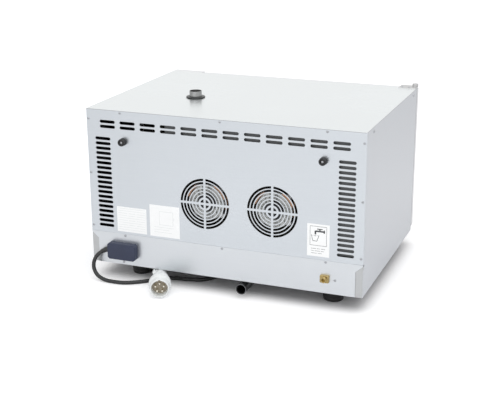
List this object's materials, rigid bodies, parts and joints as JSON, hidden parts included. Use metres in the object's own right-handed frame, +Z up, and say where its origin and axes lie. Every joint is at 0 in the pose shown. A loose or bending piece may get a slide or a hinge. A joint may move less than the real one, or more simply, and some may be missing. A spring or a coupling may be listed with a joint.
{
  "type": "countertop convection oven",
  "caption": "Stainless countertop convection oven with steam chimney, drain pipe, water inlet, rear vent grilles, side-hung glass door and a mains cable with plug.",
  "frame": {"origin": "on the counter, under the middle of the oven without its cable, from side to side and from handle to terminal box", "axes": "+X to the right as seen from the front, +Y to the rear, +Z up; the door faces -Y"},
  "size_m": [0.8038, 0.7461, 0.519],
  "materials": {
    "stainless_panel": "satin",
    "stainless_inside": "satin",
    "plated_steel": "satin",
    "bright_wire": "polished",
    "black_rubber": "matte",
    "gasket_rubber": "matte",
    "glass": "gloss",
    "wool": "matte",
    "ceramic_white": "gloss",
    "core_steel": "satin",
    "copper": "satin",
    "cast_aluminium": "satin",
    "element_sheath": "satin",
    "fan_plastic": "matte",
    "brass": "satin",
    "valve_plastic": "matte",
    "silicone_tube": "satin",
    "label_film": "satin",
    "box_plastic": "satin",
    "plug_plastic": "satin",
    "insert_plastic": "matte",
    "contact_metal": "gloss",
    "magnet": "satin",
    "black_plastic": "satin",
    "green_plastic": "gloss",
    "amber_lens": "gloss"
  },
  "bodies": {
    "cabinet": {"base_pan": "plated_steel", "rubber_feet": "black_rubber", "side_panel_left": "stainless_panel", "side_panel_right": "stainless_panel", "top_cover": "stainless_panel", "rear_panel": "stainless_panel", "rear_apron": "stainless_panel", "front_frame": "stainless_panel", "panel_screws": "plated_steel", "cavity_liner": "stainless_inside", "cavity_back": "stainless_inside", "insulation": "wool", "compartment_wall": "plated_steel", "air_baffle": "stainless_inside", "shelf_racks": "bright_wire", "wire_shelves": "bright_wire", "lamp_holder": "ceramic_white", "lamp_lens": "glass", "motor_cores": "core_steel", "motor_windings": "copper", "motor_shields": "cast_aluminium", "heating_elements": "element_sheath", "chimney_pipe": "plated_steel", "chimney_collar": "black_rubber", "drain_pipe": "plated_steel", "drain_clip": "plated_steel", "water_inlet": "brass", "water_valve": "valve_plastic", "water_tube": "silicone_tube", "wall_bumpers": "black_rubber", "rear_labels": "label_film", "terminal_box_base": "box_plastic", "terminal_box_cover": "box_plastic", "cable_gland": "black_rubber", "mains_cable": "black_rubber", "plug_shell": "plug_plastic", "plug_insert": "insert_plastic", "plug_contacts": "contact_metal", "plug_clamp": "plug_plastic", "hinge_brackets": "plated_steel", "door_gasket": "gasket_rubber", "door_magnets": "magnet", "control_panel": "stainless_panel", "indicator_lamps": "amber_lens", "control_bodies": "black_plastic", "contactor": "black_plastic"},
    "door": {"door_shell": "stainless_panel", "door_inner_panel": "stainless_inside", "door_glass": "glass", "door_hinge_blocks": "plated_steel", "door_handle": "bright_wire"},
    "timer_knob": {"timer_knob": "black_plastic"},
    "thermostat_knob": {"thermostat_knob": "black_plastic"},
    "humidity_button": {"humidity_button": "green_plastic"},
    "fan_left": {"fan_shaft_left": "core_steel", "cooling_impeller_left": "fan_plastic", "fan_wheel_left": "stainless_inside"},
    "fan_right": {"fan_shaft_right": "core_steel", "cooling_impeller_right": "fan_plastic", "fan_wheel_right": "stainless_inside"}
  },
  "joints": [
    {"name": "door_hinge", "type": "hinge", "parent": "cabinet", "child": "door", "pos_m": [-0.391, -0.276, 0.28], "axis": [0, 0, -1], "range_deg": [0, 120]},
    {"name": "timer_turn", "type": "hinge", "parent": "cabinet", "child": "timer_knob", "pos_m": [0.35, -0.2925, 0.38], "axis": [0, 1, 0], "range_deg": [0, 300]},
    {"name": "thermostat_turn", "type": "hinge", "parent": "cabinet", "child": "thermostat_knob", "pos_m": [0.35, -0.2925, 0.285], "axis": [0, 1, 0], "range_deg": [0, 270]},
    {"name": "humidity_press", "type": "slide", "parent": "cabinet", "child": "humidity_button", "axis": [0, 1, 0], "range_m": [0, 0.004], "stiffness_N_per_m": 600},
    {"name": "fan_spin_left", "type": "hinge", "parent": "cabinet", "child": "fan_left", "pos_m": [-0.1475, 0.2075, 0.2605], "axis": [0, 1, 0], "continuous": true},
    {"name": "fan_spin_right", "type": "hinge", "parent": "cabinet", "child": "fan_right", "pos_m": [0.0475, 0.2075, 0.2605], "axis": [0, 1, 0], "continuous": true}
  ]
}
